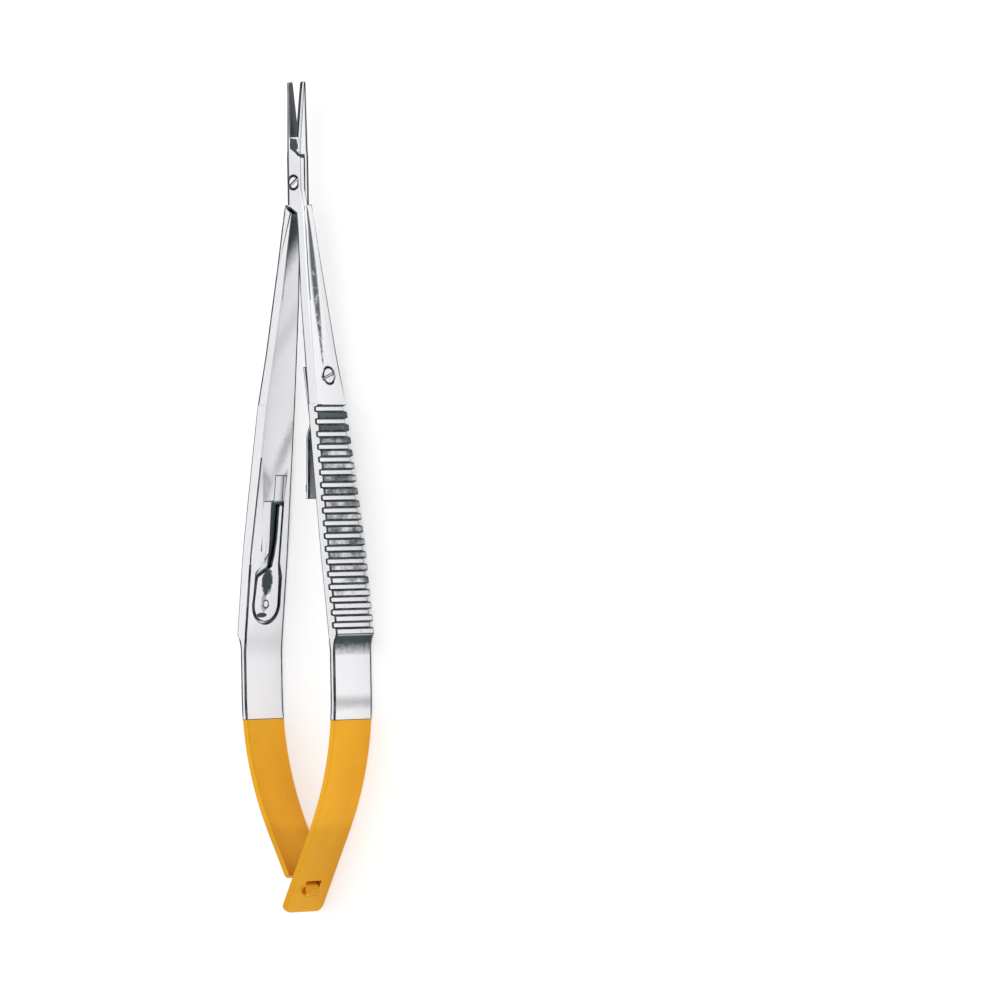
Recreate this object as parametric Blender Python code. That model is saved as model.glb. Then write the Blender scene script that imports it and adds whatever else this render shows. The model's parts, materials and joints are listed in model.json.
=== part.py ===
# Spring-handled surgical needle holder with a catch, lying on its side.
# Sizes are in millimetres and are turned into metres when a mesh is made.
# X is across the handles, +Y runs forward to the jaw tips and +Z is up, along the pivot screw.
# The halves are drawn about the pivot, half open as at rest, with the middle of their depth at Z = 0.

import math

import bmesh
import bpy
from mathutils import Matrix, Vector

MM = 0.001

# Places along the instrument, counted from the pivot: forward is positive
JAW_TIP = 16.9
INSERT_START = 7.65
UPPER_SHOULDER = 4.2
LOWER_SHOULDER = -3.9
ARM_START = -1.0
CATCH_SCREW_AT = -32.5
RIDGES_START = -37.4
STEP_LENGTH = 2.9
LEAF_BEND_START = -86.0
SEAM = -90.2
LEAF_END = -122.4

# Opening of the jaws at rest
REST_OPENING_DEG = 7.2

# Gaps between pieces
RUNNING_GAP = 0.1
SEAT_GAP = 0.1
SHOULDER_GAP = 0.15
SEAM_GAP = 0.15

# Joint of the two halves
JOINT_HALF_WIDTH = 1.5
JOINT_DEPTH = 2.3
SHOULDER_SLOPE_DEG = 34.0
SCREW_HEAD_RADIUS = 1.12
SCREW_HEAD_HEIGHT = 0.5
SCREW_SHANK_RADIUS = 0.75
SCREW_SLOT_WIDTH = 0.3
SCREW_SLOT_DEPTH = 0.25
PIVOT_SLOT_ANGLE_DEG = 35.0

# Jaws and their inserts
JAW_DEPTH_BASE = 2.17
JAW_DEPTH_TIP = 0.63
JAW_THICKNESS_BASE = 1.0
JAW_THICKNESS_TIP = 0.8
INSERT_THICKNESS = 0.34
INSERT_BEVEL = 0.35
CLOSED_JAW_GAP = 0.06
JAW_BASE_BELOW_INSERT = 1.6

# Arms and ridged handles
HANDLE_HALF_SPAN = 11.3
ARM_BOW = 0.4
FOREARM_SWELL = 0.4
SWELL_RUN = 5.0
ARM_THICKNESS_JOINT = 1.95
ARM_THICKNESS_FULL = 2.45
FULL_THICKNESS_AT = -20.0
ARM_THICKNESS_HANDLE = 2.05
CLOSED_ARM_GAP = 0.2
ARM_DEPTH_RIDGES = 7.2
HANDLE_DEPTH = 9.4
FULL_DEPTH_AT = -62.0
EDGE_BREAK = 0.16
FACET_DROP = 0.35
FACET_FLAT_JOINT = 0.3
FACET_FLAT_SCREW = 1.2
FACET_GROWTH = 8.0
FACET_FADE = 6.0
RIDGE_COUNT = 18
RIDGE_PITCH = 2.13
GROOVE_WIDTH = 1.15
GROOVE_DEPTH = 0.7
RIDGE_ROUNDING = 0.15
GROOVE_RUN_OUT = 0.9

# Leaf springs
LEAF_THICKNESS = 1.1
LEAF_DEPTH = 9.3
LEAF_STANDOFF = 10.6
LEAF_TURN_DEG = 26.5
LEAF_BEND_RADIUS = 51.1
LEAF_CORNER = 1.2
LEFT_SHOULDER_AT = -116.6
TONGUE_END_AT = -119.8
TONGUE_WIDTH = 3.4
SLOT_CLEARANCE = 0.3

# Catch screw and catch strip on the right arm
CATCH_HEAD_RADIUS = 1.4
CATCH_HEAD_HEIGHT = 0.7
CATCH_SHANK_RADIUS = 0.8
CATCH_SLOT_ANGLE_DEG = 20.0
STRIP_THICKNESS = 0.7
STRIP_ROOT_WIDTH = 5.8
STRIP_END_WIDTH = 5.6
STRIP_ABOVE_SCREW = 1.5
STRIP_BEND_AT = -39.8
STRIP_JOGGLE_END_AT = -43.2
STRIP_JOGGLE_OFFSET = 3.65
STRIP_END_AT = -53.1
STRIP_END_OFFSET = 3.45
HOOK_LENGTH_ALONG = 1.5
HOOK_WIDTH = 1.2
HOOK_FROM_MIDDLE = 1.6
HOOK_REACH_IN = 0.35
HOOK_BARB = 0.35

# Keyhole recess in the left arm. Across is counted to the rear of the arm, along from the recess's round end.
RECESS_CENTRE_AT = -70.7
RECESS_DEPTH = 0.6
RECESS_BULB_RADIUS = 3.35
RECESS_NECK_HALF = 2.75
RECESS_LENGTH = 21.7
BULB_LENGTH = 4.6
NECK_START = 6.4
MOUTH_LENGTH = 4.3
MOUTH_WIDTH = 2.5
MOUTH_INSET = 0.1
RAMP_DEPTH = 0.32
RAMP_LEAST_SHARE = 0.15
RAMP_OVERLAP = 0.2

# Catch lever
LEVER_THICKNESS = 0.4
LEVER_GAP = 0.4
LEVER_NECK_WIDTH = 0.9
LEVER_NECK_GAP = 0.35
LEVER_TIP_GAP = 0.6
LEVER_TIP_ROUNDING = 0.3
LEVER_PIN_RADIUS = 0.55
LEVER_PIN_SEAT = 0.25
DISH_HALF_WIDTH = 2.1
DISH_HALF_LENGTH = 3.1
DISH_RADIUS = 1.2
DISH_DEPTH = 0.2
DISH_FROM_PIN = 1.4

ROUND_SEGMENTS = 32
OVERCUT = 2.0

HALF_OPENING = math.radians(REST_OPENING_DEG / 2)
RIDGES_END = RIDGES_START - RIDGE_COUNT * RIDGE_PITCH
STEP_END = RIDGES_END - STEP_LENGTH
MID_HEIGHT = HANDLE_DEPTH / 2
PIVOT_Y = -(JAW_TIP + LEAF_END) / 2


# Profile of a half, as functions of the place along it

def rounded_polyline(y, points, blend):
    """Straight runs between points, their corners rounded over the blend length."""
    samples = [y + blend * step / 3 for step in range(-3, 4)]
    return sum(polyline(sample, points) for sample in samples) / len(samples)


def polyline(y, points):
    if y >= points[0][0]:
        return points[0][1]
    for (y_a, value_a), (y_b, value_b) in zip(points, points[1:]):
        if y >= y_b:
            return value_a + (value_b - value_a) * (y - y_a) / (y_b - y_a)
    return points[-1][1]


def arm_outer(y):
    """Outer surface of the right arm: a bowed line from the joint to the end of the ridges."""
    share = (ARM_START - y) / (ARM_START - RIDGES_END)
    span = HANDLE_HALF_SPAN - JOINT_HALF_WIDTH
    swell = FOREARM_SWELL * min(max((ARM_START - y) / SWELL_RUN, 0), 1)
    return JOINT_HALF_WIDTH + span * share + (4 * ARM_BOW * share + swell) * (1 - share)


def arm_thickness(y):
    points = [
        (LOWER_SHOULDER, ARM_THICKNESS_JOINT),
        (FULL_THICKNESS_AT, ARM_THICKNESS_FULL),
        (FULL_DEPTH_AT, ARM_THICKNESS_HANDLE),
    ]
    return polyline(y, points)


def arm_inner(y):
    """Inner surface of the right arm, kept clear of the other arm when the handles are closed."""
    clear_of_other = -y * math.tan(HALF_OPENING) + CLOSED_ARM_GAP / 2
    return max(arm_outer(y) - arm_thickness(y), clear_of_other)


def arm_depth(y):
    points = [
        (LOWER_SHOULDER, JOINT_DEPTH),
        (RIDGES_START, ARM_DEPTH_RIDGES),
        (FULL_DEPTH_AT, HANDLE_DEPTH),
    ]
    return rounded_polyline(y, points, 1.5)


def jaw_share(y):
    return (y - INSERT_START) / (JAW_TIP - INSERT_START)


def jaw_face(y):
    """Distance of the jaw's gripping face from the middle, at rest."""
    return y * math.tan(HALF_OPENING) + CLOSED_JAW_GAP / 2


def jaw_thickness(y):
    return JAW_THICKNESS_BASE + (JAW_THICKNESS_TIP - JAW_THICKNESS_BASE) * jaw_share(y)


def jaw_depth(y):
    """Depth of a jaw: straight taper to a round point."""
    base = INSERT_START - JAW_BASE_BELOW_INSERT
    share = (y - base) / (JAW_TIP - base)
    depth = JAW_DEPTH_BASE + (JAW_DEPTH_TIP - JAW_DEPTH_BASE) * share
    radius = JAW_DEPTH_TIP / 2
    into_tip = y - (JAW_TIP - radius)
    if into_tip > 0:
        depth *= math.sqrt(max(1 - (into_tip / radius) ** 2, 0.05))
    return depth


def section(y, low, high, half, flat, drop, edge, rim=0):
    """Closed ring across the instrument at y.

    The high side has a flat in its middle, with a shallow facet on either side that falls by drop.
    Its rear corner stands out by rim.
    """
    edge_x = high - drop
    points = [
        (low + edge, half),
        (low, half - edge),
        (low, edge - half),
        (low + edge, -half),
        (edge_x - edge + rim, -half),
        (edge_x + rim, edge - half),
        (high, -flat),
        (high, flat),
        (edge_x, half - edge),
        (edge_x - edge, half),
    ]
    return [Vector((x, y, z)) for x, z in points]


# Mesh tools

def mesh_object(name, bm, material, parent):
    bmesh.ops.recalc_face_normals(bm, faces=bm.faces)
    for vertex in bm.verts:
        vertex.co *= MM
    mesh = bpy.data.meshes.new(name)
    bm.to_mesh(mesh)
    bm.free()
    mesh.materials.append(material)
    mesh.shade_smooth()
    mesh.set_sharp_from_angle(angle=math.radians(20))
    piece = bpy.data.objects.new(name, mesh)
    piece.parent = parent
    bpy.context.collection.objects.link(piece)
    return piece


def as_cutter(cutter, target):
    cutter.hide_render = True
    cutter.display_type = 'WIRE'
    boolean = target.modifiers.new(cutter.name, 'BOOLEAN')
    boolean.operation = 'DIFFERENCE'
    boolean.solver = 'EXACT'
    boolean.object = cutter


def loft(rings):
    """Closed skin through rings that have the same number of points, with a flat cap on each end."""
    bm = bmesh.new()
    loops = [[bm.verts.new(point) for point in ring] for ring in rings]
    for ring_a, ring_b in zip(loops, loops[1:]):
        count = len(ring_a)
        for i in range(count):
            j = (i + 1) % count
            bm.faces.new((ring_a[i], ring_a[j], ring_b[j], ring_b[i]))
    bm.faces.new(loops[0])
    bm.faces.new(loops[-1])
    return bm


def prism(outline, low, high):
    """Outline in X and Y, extruded from low to high along Z."""
    bm = bmesh.new()
    face = bm.faces.new([bm.verts.new((x, y, low)) for x, y in outline])
    grown = bmesh.ops.extrude_face_region(bm, geom=[face])
    moved = [item for item in grown['geom'] if isinstance(item, bmesh.types.BMVert)]
    bmesh.ops.translate(bm, verts=moved, vec=(0, 0, high - low))
    return bm


def turned(profile, segments=ROUND_SEGMENTS):
    """Profile of (radius, height) pairs turned about Z. Its first and last radius are at the axis."""
    bm = bmesh.new()
    rings = []
    for radius, height in profile:
        if radius == 0:
            rings.append([bm.verts.new((0, 0, height))])
            continue
        angles = [2 * math.pi * i / segments for i in range(segments)]
        rings.append([bm.verts.new((radius * math.cos(a), radius * math.sin(a), height)) for a in angles])
    for ring_a, ring_b in zip(rings, rings[1:]):
        for i in range(segments):
            j = (i + 1) % segments
            corners = [(ring_a, i), (ring_a, j), (ring_b, j), (ring_b, i)]
            corners = [ring[k % len(ring)] for ring, k in corners]
            bm.faces.new(list(dict.fromkeys(corners)))
    return bm


def placed(bm, matrix):
    bmesh.ops.transform(bm, matrix=matrix, verts=bm.verts)
    return bm


def frame_matrix(across, along, normal, origin):
    """Matrix that takes local X, Y and Z to the three given directions."""
    matrix = Matrix((across, along, normal)).transposed().to_4x4()
    matrix.translation = origin
    return matrix


def box_mesh(width, length, height):
    half_w = width / 2
    half_l = length / 2
    outline = [(-half_w, -half_l), (half_w, -half_l), (half_w, half_l), (-half_w, half_l)]
    return prism(outline, -height / 2, height / 2)


TURN_ABOUT_Y = Matrix.Rotation(math.pi, 4, 'Y')


# The two forged halves

def half_stations(groove_run_out=False):
    """Rings of the front half from its spring seam forward to the jaw tip."""
    rings = []
    rings += leaf_root_rings()
    rings += step_rings()
    rings += ridge_rings(groove_run_out)
    rings += forearm_rings()
    rings += joint_rings()
    rings += jaw_rings()
    return rings


def leaf_root_rings():
    """The thinned steel end that the spring leaf is joined to."""
    path = LeafPath()
    rings = []
    for share in (0, 1 / 3, 2 / 3):
        y = SEAM + SEAM_GAP / 2 + (LEAF_BEND_START - SEAM) * share
        point, normal = path.at_y(y)
        rings.append(leaf_ring(point, normal, HANDLE_DEPTH / 2))
    for y in (LEAF_BEND_START, (LEAF_BEND_START + STEP_END) / 2):
        rings.append(leaf_ring(Vector((LEAF_STANDOFF, y, 0)), Vector((1, 0, 0)), HANDLE_DEPTH / 2))
    return rings


def leaf_ring(point, normal, half, thickness=LEAF_THICKNESS):
    """Ring of a leaf at a point of its outer surface, square to its run."""
    inner = point - normal * thickness
    edge = min(EDGE_BREAK, thickness / 4)
    ring = []
    for base, lift, height in (
        (inner, edge, half),
        (inner, 0, half - edge),
        (inner, 0, edge - half),
        (inner, edge, -half),
        (point, -edge, -half),
        (point, 0, edge - half),
        (point, 0, -half / 3),
        (point, 0, half / 3),
        (point, 0, half - edge),
        (point, -edge, half),
    ):
        place = base + normal * lift
        ring.append(Vector((place.x, place.y, height)))
    return ring


def step_rings():
    """Hollow radius between the leaf and the ridged handle, and the taper inside it."""
    top = arm_outer(RIDGES_END)
    rise = top - LEAF_STANDOFF
    radius = (STEP_LENGTH ** 2 + rise ** 2) / (2 * rise)
    inner_leaf = LEAF_STANDOFF - LEAF_THICKNESS
    rings = []
    steps = 6
    for i in range(steps + 1):
        run = STEP_LENGTH * i / steps
        outer = LEAF_STANDOFF + radius - math.sqrt(radius ** 2 - run ** 2)
        inner = inner_leaf + (arm_inner(RIDGES_END) - inner_leaf) * i / steps
        y = STEP_END + run
        rings.append(section(y, inner, outer, arm_depth(y) / 2, HANDLE_DEPTH / 6, 0, EDGE_BREAK))
    return rings


def ridge_profile():
    """One groove and one ridge, as (distance back, depth) pairs."""
    wall = RIDGE_ROUNDING * 0.8
    back = GROOVE_WIDTH
    return [
        (0, 0),
        (RIDGE_ROUNDING, RIDGE_ROUNDING),
        (RIDGE_ROUNDING + wall, GROOVE_DEPTH),
        (back - wall, GROOVE_DEPTH),
        (back, RIDGE_ROUNDING),
        (back + RIDGE_ROUNDING, 0),
    ]


def ridge_rings(groove_run_out):
    """Ridges across the outer face. With a run-out, the grooves slope up to one edge and leave it whole."""
    rings = []
    for count in reversed(range(RIDGE_COUNT)):
        for distance, depth in reversed(ridge_profile()):
            y = RIDGES_START - count * RIDGE_PITCH - distance
            half = arm_depth(y) / 2
            outer = arm_outer(y) - depth
            rim = depth if groove_run_out else 0
            rings.append(section(y, arm_inner(y), outer, half, half - GROOVE_RUN_OUT, 0, EDGE_BREAK, rim))
    return rings


def forearm_rings():
    """Plain arm between the ridges and the joint, with a facet along either side of its outer flat."""
    rings = []
    steps = 11
    start = RIDGES_START + RIDGE_ROUNDING
    end = LOWER_SHOULDER - shoulder_run(JOINT_HALF_WIDTH + arm_inner(lower_corner_y()))
    drops = [
        (end, FACET_DROP / 3),
        (end - FACET_GROWTH, FACET_DROP),
        (CATCH_SCREW_AT + FACET_FADE / 2, FACET_DROP),
        (RIDGES_START, 0),
    ]
    flats = [(end, FACET_FLAT_JOINT), (CATCH_SCREW_AT, FACET_FLAT_SCREW)]
    for i in range(steps + 1):
        y = start + (end - start) * i / steps
        half = arm_depth(y) / 2
        flat = polyline(y, flats)
        drop = polyline(y, drops)
        rings.append(section(y, arm_inner(y), arm_outer(y), half, flat, drop, EDGE_BREAK))
    return rings


def shoulder_run(width):
    return width * math.tan(math.radians(SHOULDER_SLOPE_DEG))


def lower_corner_y():
    return LOWER_SHOULDER - shoulder_run(JOINT_HALF_WIDTH)


def joint_rings():
    half = JOINT_DEPTH / 2
    rings = []
    for y in (LOWER_SHOULDER, ARM_START, UPPER_SHOULDER):
        outer = max(arm_outer(y), JOINT_HALF_WIDTH)
        rings.append(section(y, -JOINT_HALF_WIDTH, outer, half, FACET_FLAT_JOINT, 0, EDGE_BREAK))
    return rings


def jaw_back(y):
    """Steel face of the left jaw that the insert is brazed to."""
    return -(jaw_face(y) + INSERT_THICKNESS + SEAT_GAP / 2)


def jaw_outer(y):
    full = -(jaw_face(y) + jaw_thickness(y))
    return max(full, -JOINT_HALF_WIDTH) if y < INSERT_START else full


def jaw_rings():
    """Left jaw: set back for its insert, tapering to a round point."""
    rings = []
    start = UPPER_SHOULDER + shoulder_run(JOINT_HALF_WIDTH - jaw_back(UPPER_SHOULDER))
    steps = 5
    straight_end = JAW_TIP - JAW_DEPTH_TIP / 2
    places = [start + (straight_end - start) * i / steps for i in range(steps + 1)]
    tip_steps = 4
    for i in range(1, tip_steps + 1):
        angle = math.pi / 2 * i / tip_steps
        places.append(straight_end + JAW_DEPTH_TIP / 2 * math.sin(angle))
    for y in places:
        half = min(jaw_depth(y), JOINT_DEPTH) / 2
        edge = min(EDGE_BREAK, half * 0.35)
        rings.append(section(y, jaw_outer(y), jaw_back(y), half, half / 3, 0, edge))
    return rings


def lap_cutter(name, material, parent):
    """Removes the rear layer of the front half, where the other half's plate swings."""
    closing = Matrix.Rotation(2 * HALF_OPENING, 2)
    slope = math.radians(SHOULDER_SLOPE_DEG)
    along = closing @ Vector((math.cos(slope), math.sin(slope)))
    outward = Vector((-along.y, along.x))
    upper = closing @ Vector((-JOINT_HALF_WIDTH, UPPER_SHOULDER)) + outward * SHOULDER_GAP
    lower = closing @ Vector((JOINT_HALF_WIDTH, LOWER_SHOULDER)) - outward * SHOULDER_GAP
    reach = 3 * JOINT_HALF_WIDTH
    outline = [
        upper - along * reach,
        upper + along * reach,
        Vector((2 * reach, UPPER_SHOULDER)),
        lower + along * reach,
        lower - along * reach,
        Vector((-2 * reach, LOWER_SHOULDER)),
    ]
    bm = prism([tuple(point) for point in outline], -JOINT_DEPTH, RUNNING_GAP / 2)
    return mesh_object(name, bm, material, parent)


def pivot_hole(name, material, parent):
    head_seat = JOINT_DEPTH / 2 - SCREW_HEAD_HEIGHT
    head_radius = SCREW_HEAD_RADIUS + RUNNING_GAP
    shank_radius = SCREW_SHANK_RADIUS + RUNNING_GAP
    profile = [
        (0, -OVERCUT),
        (shank_radius, -OVERCUT),
        (shank_radius, head_seat - RUNNING_GAP),
        (head_radius, head_seat - RUNNING_GAP),
        (head_radius, OVERCUT),
        (0, OVERCUT),
    ]
    return mesh_object(name, turned(profile), material, parent)


def plain_pivot_hole(name, material, parent):
    radius = SCREW_SHANK_RADIUS + RUNNING_GAP
    profile = [(0, -OVERCUT), (radius, -OVERCUT), (radius, OVERCUT), (0, OVERCUT)]
    return mesh_object(name, turned(profile), material, parent)


def make_front_half(steel, parent):
    half = mesh_object('front_half', loft(half_stations()), steel, parent)
    as_cutter(lap_cutter('cut_front_lap', steel, parent), half)
    as_cutter(pivot_hole('cut_front_pivot', steel, parent), half)
    as_cutter(catch_screw_hole('cut_catch_screw', steel, parent), half)
    return half


def make_rear_half(steel, parent):
    half = mesh_object('rear_half', placed(loft(half_stations(True)), TURN_ABOUT_Y), steel, parent)
    lap = lap_cutter('cut_rear_lap', steel, parent)
    lap.matrix_local = TURN_ABOUT_Y
    as_cutter(lap, half)
    as_cutter(plain_pivot_hole('cut_rear_pivot', steel, parent), half)
    for cutter in recess_cutters(steel, parent):
        as_cutter(cutter, half)
    return half


# Screws

def slotted_screw(name, head_radius, head_height, shank_radius, length, material, parent):
    """Screw with its head's top at Z = 0 and its shank down to -length."""
    edge = EDGE_BREAK / 2
    profile = [
        (0, -length),
        (shank_radius - edge, -length),
        (shank_radius, -length + edge),
        (shank_radius, -head_height),
        (head_radius, -head_height),
        (head_radius, -edge),
        (head_radius - edge, 0),
        (0, 0),
    ]
    screw = mesh_object(name, turned(profile), material, parent)
    slot_box = box_mesh(3 * head_radius, SCREW_SLOT_WIDTH, 2 * SCREW_SLOT_DEPTH)
    slot = mesh_object('cut_' + name, slot_box, material, parent)
    as_cutter(slot, screw)
    return screw, slot


def make_pivot_screw(steel, parent):
    length = JOINT_DEPTH - EDGE_BREAK
    screw, slot = slotted_screw(
        'pivot_screw', SCREW_HEAD_RADIUS, SCREW_HEAD_HEIGHT, SCREW_SHANK_RADIUS, length, steel, parent)
    top = Matrix.Translation((0, 0, JOINT_DEPTH / 2 * MM))
    screw.matrix_local = top
    slot.matrix_local = top @ Matrix.Rotation(math.radians(PIVOT_SLOT_ANGLE_DEG), 4, 'Z')


def catch_screw_frame():
    """Frame on the right arm's outer flat, its Z pointing out of the arm."""
    step = 1.0
    rise = (arm_outer(CATCH_SCREW_AT - step) - arm_outer(CATCH_SCREW_AT + step)) / (2 * step)
    along = Vector((-rise, 1, 0)).normalized()
    normal = Vector((along.y, -along.x, 0))
    origin = Vector((arm_outer(CATCH_SCREW_AT), CATCH_SCREW_AT, 0))
    return frame_matrix(along.cross(normal), along, normal, origin)


def catch_screw_length():
    return arm_thickness(CATCH_SCREW_AT) + SEAT_GAP + STRIP_THICKNESS


def catch_screw_hole(name, material, parent):
    head_radius = CATCH_HEAD_RADIUS + SEAT_GAP
    seat = -CATCH_HEAD_HEIGHT - SEAT_GAP
    shank = CATCH_SHANK_RADIUS + SEAT_GAP
    length = catch_screw_length() + OVERCUT
    profile = [
        (0, -length),
        (shank, -length),
        (shank, seat),
        (head_radius, seat),
        (head_radius, OVERCUT),
        (0, OVERCUT),
    ]
    return mesh_object(name, placed(turned(profile), catch_screw_frame()), material, parent)


def make_catch_screw(steel, parent):
    length = catch_screw_length()
    screw, slot = slotted_screw(
        'catch_screw', CATCH_HEAD_RADIUS, CATCH_HEAD_HEIGHT, CATCH_SHANK_RADIUS, length, steel, parent)
    frame = catch_screw_frame()
    frame.translation *= MM
    screw.matrix_local = frame
    slot.matrix_local = frame @ Matrix.Rotation(math.radians(CATCH_SLOT_ANGLE_DEG), 4, 'Z')


# Jaw inserts

def make_insert(name, turn, hard_metal, parent):
    """Hard-metal plate on a jaw's gripping side, bevelled at its lower end."""
    rings = []
    radius = JAW_DEPTH_TIP / 2
    straight_end = JAW_TIP - radius
    places = [INSERT_START, INSERT_START + INSERT_BEVEL]
    steps = 4
    places += [places[-1] + (straight_end - places[-1]) * i / steps for i in range(1, steps + 1)]
    tip_steps = 4
    places += [straight_end + radius * math.sin(math.pi / 2 * i / tip_steps) for i in range(1, tip_steps + 1)]
    for y in places:
        half = jaw_depth(y) / 2
        face = -jaw_face(y)
        if y == INSERT_START:
            face -= INSERT_THICKNESS * 0.7
        edge = min(EDGE_BREAK / 2, half * 0.3)
        rings.append(section(y, -(jaw_face(y) + INSERT_THICKNESS), face, half, half / 3, 0, edge / 2))
    return mesh_object(name, placed(loft(rings), turn), hard_metal, parent)


# Catch strip on the right arm

def strip_path():
    """Middle line of the strip and its width, from its top end to its free end."""
    half = STRIP_THICKNESS / 2
    start = CATCH_SCREW_AT + STRIP_ABOVE_SCREW
    points = []
    for share in (0, 0.25, 0.5, 0.75, 1):
        y = start + (STRIP_BEND_AT - start) * share
        points.append(Vector((arm_inner(y) - SEAT_GAP - half, y, 0)))
    bend = points[-1]
    joggle = Vector((STRIP_JOGGLE_OFFSET, STRIP_JOGGLE_END_AT, 0))
    end = Vector((STRIP_END_OFFSET, STRIP_END_AT, 0))
    reach = (bend.y - joggle.y) / 2
    leave = bend + (bend - points[-2]).normalized() * reach
    arrive = joggle - (end - joggle).normalized() * reach
    steps = 8
    for i in range(1, steps + 1):
        t = i / steps
        s = 1 - t
        points.append(bend * s ** 3 + leave * 3 * s * s * t + arrive * 3 * s * t * t + joggle * t ** 3)
    points.append((joggle + end) / 2)
    points.append(end)
    return points


def strip_rings():
    points = strip_path()
    rings = []
    for i, point in enumerate(points):
        before = points[max(i - 1, 0)]
        after = points[min(i + 1, len(points) - 1)]
        run = (after - before).normalized()
        normal = Vector((-run.y, run.x, 0))
        share = i / (len(points) - 1)
        half = (STRIP_ROOT_WIDTH + (STRIP_END_WIDTH - STRIP_ROOT_WIDTH) * share) / 2
        outer = point + normal * STRIP_THICKNESS / 2
        rings.append(leaf_ring(outer, normal, half, STRIP_THICKNESS))
    return rings


def hook_outline():
    """Hook on the strip's free end: it reaches into the mouth of the recess when the handles are closed."""
    closing = Matrix.Rotation(2 * HALF_OPENING, 2)
    mouth_y = RECESS_CENTRE_AT + RECESS_LENGTH - MOUTH_LENGTH / 2
    face = Vector((-arm_inner(mouth_y), mouth_y))
    tip = closing @ (face - Vector((HOOK_REACH_IN, 0)))
    root_x = STRIP_END_OFFSET
    half = HOOK_LENGTH_ALONG / 2
    return [
        (root_x, tip.y - half),
        (root_x, tip.y + half),
        (tip.x + HOOK_BARB * 2, tip.y + half),
        (tip.x + HOOK_BARB, tip.y + half + HOOK_BARB),
        (tip.x, tip.y + half),
        (tip.x, tip.y - half / 3),
        (tip.x + HOOK_BARB * 2, tip.y - half),
    ]


def make_catch_strip(steel, parent):
    strip = mesh_object('catch_strip', loft(strip_rings()), steel, parent)
    as_cutter(catch_screw_hole('cut_strip_hole', steel, parent), strip)
    hook = mesh_object(
        'join_catch_hook',
        prism(hook_outline(), -HOOK_FROM_MIDDLE - HOOK_WIDTH / 2, -HOOK_FROM_MIDDLE + HOOK_WIDTH / 2),
        steel, parent)
    as_cutter(hook, strip)
    strip.modifiers[hook.name].operation = 'UNION'
    return strip


# Keyhole recess and catch lever on the left arm

def recess_frame():
    """Frame on the left arm's inner face: X to the arm's rear, Y along the arm, Z out of the face."""
    low = Vector((-arm_inner(RECESS_CENTRE_AT), RECESS_CENTRE_AT, 0))
    top_y = RECESS_CENTRE_AT + RECESS_LENGTH
    top = Vector((-arm_inner(top_y), top_y, 0))
    along = (top - low).normalized()
    across = Vector((0, 0, -1))
    return frame_matrix(across, along, across.cross(along), low)


def arc(radius, start_deg, end_deg, steps):
    angles = [math.radians(start_deg + (end_deg - start_deg) * i / steps) for i in range(steps + 1)]
    return [(radius * math.cos(a), radius * math.sin(a)) for a in angles]


def ramp_edge():
    """Free edge of the ramp finger inside the recess, from its low corner up to the mouth."""
    neck = RECESS_NECK_HALF
    top = RECESS_LENGTH - MOUTH_LENGTH
    run = top - NECK_START
    return [
        (-0.97 * neck, BULB_LENGTH + 1),
        (-0.4 * neck, NECK_START + 0.07 * run),
        (0, NECK_START + 0.2 * run),
        (0.06 * neck, NECK_START + 0.42 * run),
        (-0.04 * neck, NECK_START + 0.72 * run),
        (-0.12 * neck, top),
    ]


def recess_outline():
    bulb = RECESS_BULB_RADIUS
    neck = RECESS_NECK_HALF
    top = RECESS_LENGTH - MOUTH_LENGTH
    mouth_right = neck - MOUTH_INSET
    mouth_left = mouth_right - MOUTH_WIDTH
    right = [(mouth_right, RECESS_LENGTH), (neck, top), (neck, NECK_START), (bulb, BULB_LENGTH)]
    bottom = arc(bulb, 0, -180, 16)
    left = [(-bulb, BULB_LENGTH / 3), (-0.91 * bulb, BULB_LENGTH + 0.6)]
    return [(mouth_left, RECESS_LENGTH)] + right + bottom + left + ramp_edge() + [(mouth_left, top)]


def ramp_outline():
    """Shallow slope beside the lever's neck, that guides the hook towards the lever."""
    neck = RECESS_NECK_HALF
    top = RECESS_LENGTH - MOUTH_LENGTH
    run = top - NECK_START
    edge = [(x + RAMP_OVERLAP, y) for x, y in ramp_edge()]
    left = [
        (-0.9 * neck, top),
        (-0.87 * neck, top - 0.15 * run),
        (-0.73 * neck, NECK_START + 0.25 * run),
        (-1.05 * neck, BULB_LENGTH + 1.15),
    ]
    return edge + left


def recess_cutters(material, parent):
    frame = recess_frame()
    deep = prism(recess_outline(), -RECESS_DEPTH, OVERCUT)
    ramp = prism(ramp_outline(), -RAMP_DEPTH, OVERCUT)
    left_edge = -RECESS_NECK_HALF
    for vertex in ramp.verts:
        if vertex.co.z < 0:
            share = (vertex.co.x - left_edge) / -left_edge
            vertex.co.z = -RAMP_DEPTH * min(max(share, RAMP_LEAST_SHARE), 1)
    pin_radius = LEVER_PIN_RADIUS + SEAT_GAP
    pin_floor = -RECESS_DEPTH - LEVER_PIN_SEAT
    pin_profile = [(0, pin_floor), (pin_radius, pin_floor), (pin_radius, OVERCUT), (0, OVERCUT)]
    return [
        mesh_object('cut_recess', placed(deep, frame), material, parent),
        mesh_object('cut_ramp', placed(ramp, frame), material, parent),
        mesh_object('cut_lever_pin', placed(turned(pin_profile), frame), material, parent),
    ]


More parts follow.
